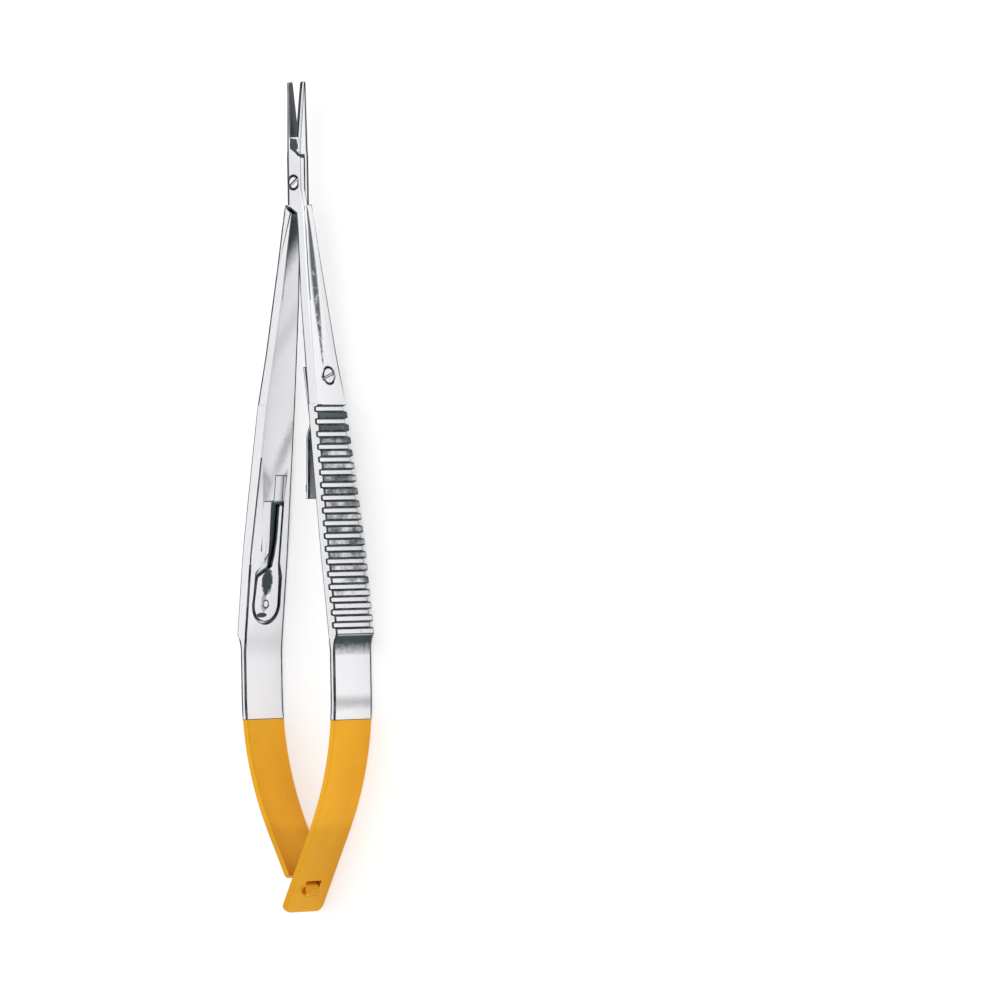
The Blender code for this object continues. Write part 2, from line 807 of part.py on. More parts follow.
def lever_outline():
    """Spoon-shaped lever: a round head in the bulb and a thin neck along the recess's straight side."""
    bulb = RECESS_BULB_RADIUS - LEVER_GAP
    right = RECESS_NECK_HALF - LEVER_NECK_GAP
    left = right - LEVER_NECK_WIDTH
    corner = LEVER_TIP_ROUNDING
    top = RECESS_LENGTH - MOUTH_LENGTH - LEVER_TIP_GAP
    run = top - NECK_START
    tip = [(right, top - corner), (right - corner, top), (left + corner, top), (left, top - corner)]
    neck_left = [
        (left, NECK_START + 0.45 * run),
        (left - 0.35, NECK_START + 0.19 * run),
        (left - 0.8, NECK_START),
    ]
    head_left = [(-0.88 * bulb, BULB_LENGTH), (-bulb, BULB_LENGTH / 6)]
    bottom = arc(bulb, -180, 0, 16)
    head_right = [(0.95 * bulb, BULB_LENGTH - LEVER_GAP), (right, NECK_START + 0.2)]
    return tip + neck_left + head_left + bottom + head_right


def make_catch_lever(steel, parent):
    low = -RECESS_DEPTH + RUNNING_GAP
    frame = recess_frame()
    frame.translation *= MM
    pin_at = bpy.data.objects.new('catch_lever_axis', None)
    pin_at.parent = parent
    pin_at.matrix_local = frame
    bpy.context.collection.objects.link(pin_at)
    lever = mesh_object('catch_lever', prism(lever_outline(), low, low + LEVER_THICKNESS), steel, pin_at)
    radius = LEVER_PIN_RADIUS + RUNNING_GAP
    hole_profile = [(0, -OVERCUT), (radius, -OVERCUT), (radius, OVERCUT), (0, OVERCUT)]
    as_cutter(mesh_object('cut_lever_hole', turned(hole_profile), steel, pin_at), lever)
    dish = bmesh.new()
    bmesh.ops.create_uvsphere(dish, u_segments=24, v_segments=12, radius=1)
    centre = Vector((0, DISH_FROM_PIN, low + LEVER_THICKNESS - DISH_DEPTH + DISH_RADIUS))
    size = Matrix.Diagonal((DISH_HALF_WIDTH, DISH_HALF_LENGTH, DISH_RADIUS, 1))
    placed(dish, Matrix.Translation(centre) @ size)
    as_cutter(mesh_object('cut_lever_dish', dish, steel, pin_at), lever)
    return pin_at


def make_lever_pin(steel, pin_at):
    low = -RECESS_DEPTH - LEVER_PIN_SEAT + SEAT_GAP
    edge = EDGE_BREAK / 2
    radius = LEVER_PIN_RADIUS
    profile = [(0, low), (radius, low), (radius, -edge * 2), (radius - edge, -edge), (0, -edge)]
    return mesh_object('catch_lever_pin', turned(profile), steel, pin_at)


# Spring leaves

class LeafPath:
    """Outer surface of the right leaf: straight, then an arc, then straight to its end."""

    def __init__(self):
        self.turn = math.radians(LEAF_TURN_DEG)
        self.radius = LEAF_BEND_RADIUS
        self.centre = Vector((LEAF_STANDOFF - self.radius, LEAF_BEND_START, 0))
        self.arc_end = self.centre + self.radius * Vector((math.cos(self.turn), -math.sin(self.turn), 0))
        self.run = Vector((-math.sin(self.turn), -math.cos(self.turn), 0))

    def at_y(self, y):
        """Point of the outer surface at y, and the way out of it."""
        if y >= self.arc_end.y:
            angle = math.asin((LEAF_BEND_START - y) / self.radius)
            normal = Vector((math.cos(angle), -math.sin(angle), 0))
            return self.centre + self.radius * normal, normal
        distance = (self.arc_end.y - y) / -self.run.y
        return self.arc_end + self.run * distance, Vector((math.cos(self.turn), -math.sin(self.turn), 0))


def leaf_rings(widths):
    """Rings of a right-hand leaf through (place, half width) pairs."""
    path = LeafPath()
    rings = []
    for y, half in widths:
        point, normal = path.at_y(y)
        rings.append(leaf_ring(point, normal, half))
    return rings


def bend_places():
    start = SEAM - SEAM_GAP / 2
    end = LeafPath().arc_end.y
    steps = 10
    return [(start + (end - start) * i / steps, LEAF_DEPTH / 2) for i in range(steps + 1)]


def rounded_end(end, half, corner):
    """Places and half widths of a square end with round corners."""
    places = []
    steps = 5
    run = math.cos(math.radians(LEAF_TURN_DEG))
    for i in range(steps + 1):
        angle = math.pi / 2 * i / steps
        y = end + corner * (1 - math.sin(angle)) * run
        places.append((y, half - corner + corner * math.cos(angle)))
    return places


def leaf_slot_length():
    """Slot that lets the crossing tongue through at twice the leaf's own slope."""
    crossing = 2 * math.radians(LEAF_TURN_DEG)
    return LEAF_THICKNESS / math.sin(crossing) + LEAF_THICKNESS / math.tan(crossing) + SLOT_CLEARANCE


def make_leaf_right(gold, parent):
    half = LEAF_DEPTH / 2
    rings = leaf_rings(bend_places() + rounded_end(LEAF_END, half, LEAF_CORNER))
    leaf = mesh_object('spring_leaf_right', loft(rings), gold, parent)
    path = LeafPath()
    distance = (path.arc_end.x - LEAF_THICKNESS / 2 / math.cos(path.turn)) / math.tan(path.turn)
    crossing = Vector((0, path.arc_end.y - distance, 0))
    up = Vector((0, 0, 1))
    matrix = frame_matrix(up, -path.run, up.cross(-path.run), crossing)
    box = box_mesh(TONGUE_WIDTH + SLOT_CLEARANCE, leaf_slot_length(), 4 * LEAF_THICKNESS)
    as_cutter(mesh_object('cut_leaf_slot', placed(box, matrix), gold, parent), leaf)
    return leaf


def make_leaf_left(gold, parent):
    half = LEAF_DEPTH / 2
    tongue = TONGUE_WIDTH / 2
    shoulder = rounded_end(LEFT_SHOULDER_AT, half, LEAF_CORNER / 2)
    root = [(LEFT_SHOULDER_AT - 0.05, tongue)]
    tip = rounded_end(TONGUE_END_AT, tongue, LEAF_CORNER / 3)
    rings = leaf_rings(bend_places() + shoulder + root + tip)
    return mesh_object('spring_leaf_left', placed(loft(rings), TURN_ABOUT_Y), gold, parent)


# Materials and assembly

def plain_material(name, colour, roughness, metallic):
    material = bpy.data.materials.new(name)
    material.use_nodes = True
    shader = material.node_tree.nodes['Principled BSDF']
    shader.inputs['Base Color'].default_value = (*colour, 1)
    shader.inputs['Roughness'].default_value = roughness
    shader.inputs['Metallic'].default_value = metallic
    return material


def clear_scene():
    for item in list(bpy.data.objects):
        bpy.data.objects.remove(item, do_unlink=True)


def main():
    clear_scene()
    steel = plain_material('satin_steel', (0.72, 0.72, 0.76), 0.3, 1.0)
    screw_steel = plain_material('screw_steel', (0.6, 0.6, 0.64), 0.35, 1.0)
    hard_metal = plain_material('hard_metal', (0.12, 0.13, 0.14), 0.45, 1.0)
    gold = plain_material('gold_plate', (0.9, 0.58, 0.14), 0.35, 1.0)

    pivot = bpy.data.objects.new('pivot_axis', None)
    pivot.location = (0, PIVOT_Y * MM, MID_HEIGHT * MM)
    bpy.context.collection.objects.link(pivot)

    make_front_half(steel, pivot)
    make_rear_half(steel, pivot)
    make_pivot_screw(screw_steel, pivot)
    make_insert('jaw_insert_left', Matrix.Identity(4), hard_metal, pivot)
    make_insert('jaw_insert_right', TURN_ABOUT_Y, hard_metal, pivot)
    make_catch_strip(steel, pivot)
    make_catch_screw(screw_steel, pivot)
    pin_at = make_catch_lever(steel, pivot)
    make_lever_pin(screw_steel, pin_at)
    make_leaf_right(gold, pivot)
    make_leaf_left(gold, pivot)


main()
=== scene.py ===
import json
import math

import bmesh
import bpy
from mathutils import Matrix, Vector
from mathutils.bvhtree import BVHTree


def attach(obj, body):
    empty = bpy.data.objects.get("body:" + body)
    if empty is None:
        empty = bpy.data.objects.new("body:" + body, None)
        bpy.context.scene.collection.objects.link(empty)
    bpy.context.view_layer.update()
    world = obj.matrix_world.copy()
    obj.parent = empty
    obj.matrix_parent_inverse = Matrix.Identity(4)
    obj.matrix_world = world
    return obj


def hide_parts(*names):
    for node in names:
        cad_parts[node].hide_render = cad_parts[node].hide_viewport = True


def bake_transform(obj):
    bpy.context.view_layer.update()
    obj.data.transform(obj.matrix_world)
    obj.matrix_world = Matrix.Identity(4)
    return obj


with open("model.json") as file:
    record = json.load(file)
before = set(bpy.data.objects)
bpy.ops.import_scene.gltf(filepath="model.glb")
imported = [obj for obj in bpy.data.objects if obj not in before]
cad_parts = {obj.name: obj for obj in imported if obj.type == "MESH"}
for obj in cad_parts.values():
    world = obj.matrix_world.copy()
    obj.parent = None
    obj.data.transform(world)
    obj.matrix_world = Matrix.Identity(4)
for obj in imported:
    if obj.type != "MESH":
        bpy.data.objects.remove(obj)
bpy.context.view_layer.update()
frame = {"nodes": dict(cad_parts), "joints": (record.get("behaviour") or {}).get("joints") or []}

mm = 0.001
pivotPlace = Vector(frame["joints"][0]["pos_m"])
leverPlace = Vector(frame["joints"][1]["pos_m"])      # on the left arm's inner face
leverAxis = Vector(frame["joints"][1]["axis"])        # square to that face
print("frame loaded:", len(frame["nodes"]), "nodes")


# small helpers for node trees; places in them are in millimetres from the pivot

def startMaterial(name, roughness, metallic=1.0):
    material = bpy.data.materials.new(name)
    material.use_nodes = True
    tree = material.node_tree
    shader = tree.nodes["Principled BSDF"]
    shader.inputs["Metallic"].default_value = metallic
    shader.inputs["Roughness"].default_value = roughness
    return material, tree, shader


def addNode(tree, kind, **settings):
    node = tree.nodes.new(kind)
    for key, value in settings.items():
        setattr(node, key, value)
    return node


def feed(tree, socket, value):
    if isinstance(value, (int, float, tuple)):
        socket.default_value = value
    else:
        tree.links.new(value, socket)


def mathNode(tree, operation, first, second=0.0):
    node = addNode(tree, "ShaderNodeMath", operation=operation)
    feed(tree, node.inputs[0], first)
    feed(tree, node.inputs[1], second)
    return node.outputs[0]


def chained(tree, operation, values):
    result = values[0]
    for value in values[1:]:
        result = mathNode(tree, operation, result, value)
    return result


def times(tree, *values):
    return chained(tree, "MULTIPLY", values)


def plus(tree, *values):
    return chained(tree, "ADD", values)


def strongest(tree, *values):
    return chained(tree, "MAXIMUM", values)


def rising(tree, value, low, high):
    node = addNode(tree, "ShaderNodeMapRange", interpolation_type="SMOOTHSTEP")
    feed(tree, node.inputs["Value"], value)
    node.inputs["From Min"].default_value = low
    node.inputs["From Max"].default_value = high
    return node.outputs["Result"]


def falling(tree, value, low, high):
    return mathNode(tree, "SUBTRACT", 1.0, rising(tree, value, low, high))


def above(tree, value, limit, soft):
    return rising(tree, value, limit - soft, limit + soft)


def below(tree, value, limit, soft):
    return falling(tree, value, limit - soft, limit + soft)


def between(tree, value, low, high, soft):
    return times(tree, above(tree, value, low, soft), below(tree, value, high, soft))


# 1 where the surface looks along one of the axes, by that part of its normal

def facesThatWay(tree, component, full=0.9):
    return rising(tree, component, 0.6, full)


def placeOf(tree):
    coordinates = addNode(tree, "ShaderNodeTexCoord").outputs["Object"]
    node = addNode(tree, "ShaderNodeMapping")
    node.inputs["Location"].default_value = tuple(-value / mm for value in pivotPlace)
    node.inputs["Scale"].default_value = (1 / mm, 1 / mm, 1 / mm)
    tree.links.new(coordinates, node.inputs["Vector"])
    return node.outputs["Vector"]


def splitUp(tree, vector):
    node = addNode(tree, "ShaderNodeSeparateXYZ")
    tree.links.new(vector, node.inputs["Vector"])
    return node.outputs[0], node.outputs[1], node.outputs[2]


def facing(tree):
    return splitUp(tree, addNode(tree, "ShaderNodeTexCoord").outputs["Normal"])


# one scale, or three that stretch the noise

def noiseOf(tree, place, scale, detail=3.0, rough=0.5):
    node = addNode(tree, "ShaderNodeTexNoise")
    if isinstance(scale, tuple):
        mapping = addNode(tree, "ShaderNodeMapping")
        mapping.inputs["Scale"].default_value = scale
        tree.links.new(place, mapping.inputs["Vector"])
        place, scale = mapping.outputs["Vector"], 1.0
    tree.links.new(place, node.inputs["Vector"])
    node.inputs["Scale"].default_value = scale
    node.inputs["Detail"].default_value = detail
    node.inputs["Roughness"].default_value = rough
    return node.outputs["Fac"]


def mixColours(tree, factor, first, second):
    node = addNode(tree, "ShaderNodeMix", data_type="RGBA")
    feed(tree, node.inputs["Factor"], factor)
    for socket, value in ((node.inputs[6], first), (node.inputs[7], second)):
        feed(tree, socket, (*value, 1) if isinstance(value, tuple) else value)
    return node.outputs[2]


def bumpInto(tree, shader, height, strength, distance):
    node = addNode(tree, "ShaderNodeBump")
    node.inputs["Strength"].default_value = strength
    node.inputs["Distance"].default_value = distance * mm
    tree.links.new(height, node.inputs["Height"])
    tree.links.new(node.outputs["Normal"], shader.inputs["Normal"])


# satin steel with random grain and clouds; along each arm, painted shade and painted reflections darken it
# in places

steelFinish = {
    "light": (0.93, 0.93, 0.955),
    "soft": (0.84, 0.84, 0.875),
    "dark": (0.055, 0.072, 0.078),
    "roughness": 0.24,
    "roughnessSpread": 0.06,        # either way
    "grain": (14, 0.35, 14),        # polished along the arm
    "scratches": (30, 0.9, 30),
    "clouds": (0.12, 0.06, 0.12),
    "shares": (0.4, 0.4, 0.2),      # of grain, clouds and scratches
    "toneRange": (0.3, 0.56),
    "grainDepth": 0.004,
}

# painted shade and painted reflections on the left arm's inner face: dark next to the joint, a grey cloud,
# a fainter high cloud, a low band, and slightly darker front faces
leftArmPaintedShade = {
    "mottle": 1.4,
    "dark": {"downTo": -12.0, "fade": 3.6, "slant": 1.3, "uneven": 1.6},      # next to the joint
    "shadeCloud": {"at": -47.8, "half": 2.1, "soft": 2.1, "slant": 1.84, "uneven": 3.0, "strength": 0.42},
    "shadeCloudBelow": 0.5,              # the cloud fades out above this height
    "highShadeCloud": {"at": -24.5, "half": 2.0, "soft": 2.5, "slant": 1.2, "uneven": 0.0, "strength": 0.16},
    "lowShade": {"at": -77.0, "half": 1.5, "soft": 2.5, "slant": 0.0, "uneven": 0.0, "strength": 0.2},
    "frontShade": 0.06,
}

# painted shade and painted reflections on the right arm: a dark line along the crease of its outer face, a
# dark step below the ridges, a grey band, and slightly darker front faces, a little more near the joint
rightArmPaintedShade = {
    "mottle": (1.6, 1.28, 1.6),
    "crease": {
        "from": -4.0, "to": -30.5, "heightFrom": 0.35, "heightTo": 1.15, "half": 0.62, "thinnest": 0.12,
        "uneven": 0.15, "strength": 0.92},
    "step": {"from": -75.9, "to": -79.2, "soft": 0.3, "uneven": 1.6, "faintest": 0.15},
    "band": {"at": -87.2, "half": 0.85, "soft": 0.85, "slant": 0.0, "uneven": 0.8, "strength": 0.42},
    "joint": {"at": -0.5, "half": 3.0, "soft": 1.5, "slant": 0.0, "uneven": 0.0, "strength": 0.03},
    "frontShade": 0.10,              # the front faces are a little darker than the outer ones
}

# painted shade: dark lines along the edges of the joint and the jaws, as in the drawing

jawShadeLines = {
    "from": -3.8,
    "leftEdgeAt": -1.5,
    "leftEdgeSlope": -0.0407,       # the rest opening, per millimetre
    "leftLine": 0.56,
    "halfDepthAtPivot": 1.15,
    "slopesFrom": 5.0,
    "taper": 0.06,                  # how much the jaws get shallower to each side, per millimetre
    "rightLine": 0.6,
    "lineSoft": 0.08,
}


def pastJawRoot(tree, along):
    return mathNode(tree, "MAXIMUM", plus(tree, along, -jawShadeLines["slopesFrom"]), 0.0)


def jawLeftLine(tree, across, along, faceZ):
    drift = times(tree, pastJawRoot(tree, along), -jawShadeLines["leftEdgeSlope"])
    fromEdge = plus(tree, across, -jawShadeLines["leftEdgeAt"], drift)
    line = below(tree, fromEdge, jawShadeLines["leftLine"], jawShadeLines["lineSoft"])
    return times(tree, line, facesThatWay(tree, faceZ), above(tree, along, jawShadeLines["from"], 0.1))


def jawRightLine(tree, across, along, height, faceX):
    taper = times(tree, pastJawRoot(tree, along), -jawShadeLines["taper"])
    fromEdge = plus(tree, height, jawShadeLines["halfDepthAtPivot"], taper)
    line = below(tree, fromEdge, jawShadeLines["rightLine"], jawShadeLines["lineSoft"])
    right = times(tree, facesThatWay(tree, faceX), above(tree, across, 0.2, 0.1))
    return times(tree, line, right, above(tree, along, jawShadeLines["from"], 0.1))


# how far along the arm a point lies, measured to a slanting, uneven line

def slantedLine(tree, along, height, mottle, slant, uneven):
    return plus(tree, along, times(tree, height, slant), times(tree, mottle, uneven), -uneven / 2)


# a band of painted shade across the arm
def shadeBand(tree, along, height, mottle, tone):
    line = slantedLine(tree, along, height, mottle, tone["slant"], tone["uneven"])
    band = between(tree, line, tone["at"] - tone["half"], tone["at"] + tone["half"], tone["soft"])
    return times(tree, band, tone["strength"])


# the mask of painted shade on the left arm, with the joint's dark edge line
def leftArmShade(tree, place):
    tones = leftArmPaintedShade
    across, along, height = splitUp(tree, place)
    faceX, faceY, faceZ = facing(tree)
    mottle = noiseOf(tree, place, tones["mottle"])
    dark = tones["dark"]
    line = slantedLine(tree, along, height, mottle, dark["slant"], dark["uneven"])
    nearJoint = above(tree, line, dark["downTo"], dark["fade"])
    shadeCloud = shadeBand(tree, along, height, mottle, tones["shadeCloud"])
    shadeCloud = times(tree, shadeCloud, below(tree, height, tones["shadeCloudBelow"], 2.0))
    highShadeCloud = shadeBand(tree, along, height, mottle, tones["highShadeCloud"])
    lowShade = shadeBand(tree, along, height, mottle, tones["lowShade"])
    inner = times(tree, facesThatWay(tree, faceX), below(tree, across, -0.3, 0.3))
    arm = times(tree, inner, strongest(tree, nearJoint, shadeCloud, highShadeCloud, lowShade))
    front = times(tree, facesThatWay(tree, faceZ), tones["frontShade"])
    return strongest(tree, arm, front, jawRightLine(tree, across, along, height, faceX))


# painted shade along the crease, widest in its middle
def creaseShade(tree, along, height, mottle):
    crease = rightArmPaintedShade["crease"]
    run = times(tree, plus(tree, along, -crease["from"]), 1 / (crease["to"] - crease["from"]))
    rise = times(tree, run, crease["heightFrom"] - crease["heightTo"])
    away = mathNode(tree, "ABSOLUTE", plus(tree, height, -crease["heightFrom"], rise))
    swell = times(tree, between(tree, run, 0.2, 0.8, 0.25), crease["half"])
    width = plus(tree, crease["thinnest"], swell, times(tree, mottle, crease["uneven"]))
    shade = falling(tree, mathNode(tree, "DIVIDE", away, width), 0.4, 1.1)
    ends = between(tree, along, crease["to"], crease["from"], 0.8)
    paler = falling(tree, plus(tree, mottle, times(tree, run, 0.25)), 0.62, 0.95)
    return times(tree, shade, ends, paler, crease["strength"])


# painted shade in the step below the ridges, fading away from them
def stepShade(tree, along, mottle):
    step = rightArmPaintedShade["step"]
    shade = between(tree, along, step["to"], step["from"], step["soft"])
    line = plus(tree, along, times(tree, mottle, step["uneven"]))
    fade = times(tree, rising(tree, line, step["to"] + 0.2, step["from"] - 0.2), 1 - step["faintest"])
    return times(tree, shade, plus(tree, fade, step["faintest"]))


# the mask of painted shade on the right arm, with the jaw's dark edge line
def rightArmShade(tree, place):
    tones = rightArmPaintedShade
    across, along, height = splitUp(tree, place)
    faceX, faceY, faceZ = facing(tree)
    mottle = noiseOf(tree, place, tones["mottle"], 4.0, 0.6)
    crease = creaseShade(tree, along, height, mottle)
    step = stepShade(tree, along, mottle)
    band = shadeBand(tree, along, height, mottle, tones["band"])
    outer = times(tree, facesThatWay(tree, faceX, 0.85), rising(tree, across, 0.3, 1.0))
    arm = times(tree, outer, strongest(tree, crease, step, band))
    nearJoint = shadeBand(tree, along, height, mottle, tones["joint"])
    front = times(tree, facesThatWay(tree, faceZ), plus(tree, nearJoint, tones["frontShade"]))
    return strongest(tree, arm, front, jawLeftLine(tree, across, along, faceZ))


def makeSteel(name, shadeMaker=None, darker=0.0):
    finish = steelFinish
    material, tree, shader = startMaterial(name, finish["roughness"])
    place = placeOf(tree)
    grain = noiseOf(tree, place, finish["grain"], 4.0)
    scratches = noiseOf(tree, place, finish["scratches"], 2.0)
    clouds = noiseOf(tree, place, finish["clouds"], 2.0)
    parts = [times(tree, part, share) for part, share in zip((grain, clouds, scratches), finish["shares"])]
    tone = rising(tree, plus(tree, *parts), *finish["toneRange"])
    colour = mixColours(tree, tone, finish["soft"], finish["light"])
    # painted shade: the shade mask, or an even darker amount, mixes the dark colour over the steel
    if shadeMaker:
        colour = mixColours(tree, shadeMaker(tree, place), colour, finish["dark"])
    elif darker:
        shade = plus(tree, darker, times(tree, grain, 0.2))
        colour = mixColours(tree, shade, colour, finish["dark"])
    tree.links.new(colour, shader.inputs["Base Color"])
    spread = finish["roughnessSpread"]
    rough = plus(tree, finish["roughness"] - spread, times(tree, scratches, 2 * spread))
    tree.links.new(rough, shader.inputs["Roughness"])
    bumpInto(tree, shader, plus(tree, grain, scratches), 0.5, finish["grainDepth"])
    return material


# painted shade: the dark lines along edges, chamfers and walls, unevenly mottled
edgeShadeFinish = {
    "light": (0.15, 0.165, 0.175),
    "dark": (0.03, 0.036, 0.04),
    "roughness": 0.36,
    "shadeMottle": (1.0, 0.5, 1.0),
    "toneRange": (0.35, 0.7),
}


def makeEdgeShadeSteel():
    finish = edgeShadeFinish
    material, tree, shader = startMaterial("edgeShadeSteel", finish["roughness"])
    place = placeOf(tree)
    shadeMottle = noiseOf(tree, place, finish["shadeMottle"], 4.0, 0.6)
    colour = mixColours(tree, rising(tree, shadeMottle, *finish["toneRange"]), finish["dark"], finish["light"])
    tree.links.new(colour, shader.inputs["Base Color"])
    bumpInto(tree, shader, noiseOf(tree, place, 12.0), 0.4, 0.004)
    return material


# the ridge tops are rougher steel; their dark mottled colour is painted shade, darkest on the first ridges
# and lighter on the last ones
ridgeFinish = {
    "light": (0.88, 0.88, 0.91),
    "dark": (0.10, 0.125, 0.13),
    "roughness": 0.34,
    "patches": (0.3, 0.28, 0.3),
    "mottle": 2.2,
    "mottleShare": 0.35,
    "toneRange": (0.48, 0.9),
    "darkDownTo": -43.0,        # the first two grooves
    "lightFrom": -69.0,         # the last ones, with a long fade
    "endShade": 0.3,
}


def makeRidgeSteel():
    finish = ridgeFinish
    material, tree, shader = startMaterial("ridgeShadeSteel", finish["roughness"])
    place = placeOf(tree)
    across, along, height = splitUp(tree, place)
    patches = noiseOf(tree, place, finish["patches"], 2.0)
    mottle = noiseOf(tree, place, finish["mottle"], 4.0, 0.65)
    first = times(tree, above(tree, along, finish["darkDownTo"], 0.6), -finish["endShade"])
    last = times(tree, below(tree, along, finish["lightFrom"], 8.0), finish["endShade"])
    tone = plus(tree, patches, times(tree, mottle, finish["mottleShare"]), first, last)
    colour = mixColours(tree, rising(tree, tone, *finish["toneRange"]), finish["dark"], finish["light"])
    tree.links.new(colour, shader.inputs["Base Color"])
    bumpInto(tree, shader, mottle, 0.5, 0.01)
    return material


# painted shade: a dark band on the recess floor, in its lower half between darkFrom and darkTo
recessFinish = {
    "light": (0.90, 0.90, 0.935),
    "dark": (0.06, 0.08, 0.085),
    "roughness": 0.3,
    "darkFrom": -64.6,
    "darkTo": -53.4,
    "darkBelow": -0.1,
    "uneven": 0.5,
    "grain": (6, 1.5, 6),
}


def makeRecessSteel():
    finish = recessFinish
    material, tree, shader = startMaterial("recessSteel", finish["roughness"])
    place = placeOf(tree)
    across, along, height = splitUp(tree, place)
    line = slantedLine(tree, along, height, noiseOf(tree, place, 3.0), 0.0, finish["uneven"])
    dark = between(tree, line, finish["darkFrom"], finish["darkTo"], 0.25)
    dark = times(tree, dark, below(tree, height, finish["darkBelow"], 0.1))
    tree.links.new(mixColours(tree, dark, finish["light"], finish["dark"]), shader.inputs["Base Color"])
    bumpInto(tree, shader, noiseOf(tree, place, finish["grain"]), 0.4, 0.006)
    return material


# painted reflections: dark spots on the lever's polished face; each place is along the arm, and up from
# its middle

leverReflectionSpots = {
    "mottle": 1.3,
    "patch": {"at": (-66.9, 0.15), "size": (2.5, 1.4), "uneven": 1.1, "strength": 1.0},
    "streak": {"at": (-70.3, 0.5), "size": (2.0, 0.8), "uneven": 1.6, "strength": 0.5},
    "foot": {"at": (-72.5, 0.9), "size": (0.45, 1.35), "uneven": 0.2, "strength": 1.0},
}


def spot(tree, along, height, mottle, tone):
    parts = []
    for value, middle, size in zip((along, height), tone["at"], tone["size"]):
        parts.append(mathNode(tree, "POWER", times(tree, plus(tree, value, -middle), 1 / size), 2.0))
    distance = plus(tree, *parts, times(tree, mottle, tone["uneven"]), -tone["uneven"] / 2)
    return times(tree, falling(tree, distance, 0.6, 1.1), tone["strength"])


def leverReflections(tree, place):
    across, along, height = splitUp(tree, place)
    mottle = noiseOf(tree, place, leverReflectionSpots["mottle"])
    spots = [spot(tree, along, height, mottle, leverReflectionSpots[name]) for name in ("patch", "streak", "foot")]
    return strongest(tree, *spots)


goldFinish = {
    "light": (0.90, 0.445, 0.031),
    "deep": (0.74, 0.365, 0.025),
    "roughness": 0.36,
    "grain": (7, 1.2, 7),
    "fine": 9.0,
    "clouds": (0.16, 0.1, 0.16),
    "shares": (0.3, 0.3, 0.4),      # of grain, fine grain and clouds
    "toneRange": (0.28, 0.6),
    "deeperFrom": -107.25,          # towards the crossing
    "deeperBy": 0.17,
}


def makeGold():
    finish = goldFinish
    material, tree, shader = startMaterial("goldPlate", finish["roughness"])
    place = placeOf(tree)
    across, along, height = splitUp(tree, place)
    grain = noiseOf(tree, place, finish["grain"], 4.0)
    fine = noiseOf(tree, place, finish["fine"], 3.0, 0.6)
    clouds = noiseOf(tree, place, finish["clouds"], 2.0)
    lower = below(tree, plus(tree, along, times(tree, clouds, 2.0)), finish["deeperFrom"], 1.25)
    parts = [times(tree, part, share) for part, share in zip((grain, fine, clouds), finish["shares"])]
    tone = plus(tree, *parts, times(tree, lower, -finish["deeperBy"]))
    colour = mixColours(tree, rising(tree, tone, *finish["toneRange"]), finish["deep"], finish["light"])
    tree.links.new(colour, shader.inputs["Base Color"])
    bumpInto(tree, shader, plus(tree, grain, fine), 0.4, 0.005)
    return material


hardMetalFinish = {
    "light": (0.16, 0.17, 0.18),
    "dark": (0.03, 0.035, 0.04),
    "roughness": 0.42,
    "grain": 8.0,
}


def makeHardMetal():
    finish = hardMetalFinish
    material, tree, shader = startMaterial("hardMetal", finish["roughness"])
    grain = noiseOf(tree, placeOf(tree), finish["grain"])
    tree.links.new(mixColours(tree, grain, finish["dark"], finish["light"]), shader.inputs["Base Color"])
    bumpInto(tree, shader, grain, 0.5, 0.01)
    return material


finishes = {
    "leftArm": makeSteel("leftArmSteel", leftArmShade),
    "rightArm": makeSteel("rightArmSteel", rightArmShade),
    "plain": makeSteel("plainSteel"),
    "lever": makeSteel("leverSteel", leverReflections),
    # painted shade: the catch strip's side towards the arm, and the mouth between joint and jaws, are
    # darkened steel
    "shadedSide": makeSteel("stripShadedSideSteel", None, 0.62),
    "shade": makeSteel("mouthShadeSteel", None, 0.88),
    "edge": makeEdgeShadeSteel(),
    "ridge": makeRidgeSteel(),
    "groove": makeSteel("grooveSteel"),
    "recess": makeRecessSteel(),
    "gold": makeGold(),
    "insert": makeHardMetal(),
}
print("finishes made:", len(finishes))


# finer pieces: each takes its shape from its CAD node, with flats merged, edge lines of painted shade and
# soft normals

pieceShape = {
    "mergeDistance": 0.002,     # millimetres, as all lengths here
    "mergeAngle": 0.7,          # degrees between faces that are one flat
    "edgeLine": 0.15,
    "outlineExtra": 0.13,
    "ridgeLine": 0.11,
    "offSurface": 0.004,        # a line's inner corner that leaves the flat by this much goes back
    "longestCorner": 1.7,       # as a share of the line's width
    "sunkFrom": 0.08,           # a flat this far below the piece's highest one keeps no edge line
    "sharpAngle": 58.0,
}

# places in each piece's list of finishes
ownSlot, edgeSlot, ridgeSlot, grooveSlot, recessSlot, shadeSlot, besideRidgeSlot = range(7)
fineSlots = (ridgeSlot, grooveSlot, besideRidgeSlot)


def takeShape(nodeName):
    bm = bmesh.new()
    bm.from_mesh(frame["nodes"][nodeName].data)
    bmesh.ops.remove_doubles(bm, verts=bm.verts, dist=pieceShape["mergeDistance"] * mm)
    angle = math.radians(pieceShape["mergeAngle"])
    bmesh.ops.dissolve_limit(bm, angle_limit=angle, verts=bm.verts, edges=bm.edges)
    bm.normal_update()
    for face in bm.faces:
        face.material_index = ownSlot
    return bm


def middleOf(points):
    return sum(points, Vector()) / max(len(points), 1)


def fromPivot(point):
    return (point - pivotPlace) / mm


def faceMiddle(face):
    return fromPivot(face.calc_center_median())


def sideOf(normal):
    if abs(normal.z) > 0.95:
        return "up" if normal.z > 0 else "down"
    if abs(normal.x) > 0.8:
        return "right" if normal.x > 0 else "left"
    return None


# a line along the border of some faces: gives its faces, each with the way to the border

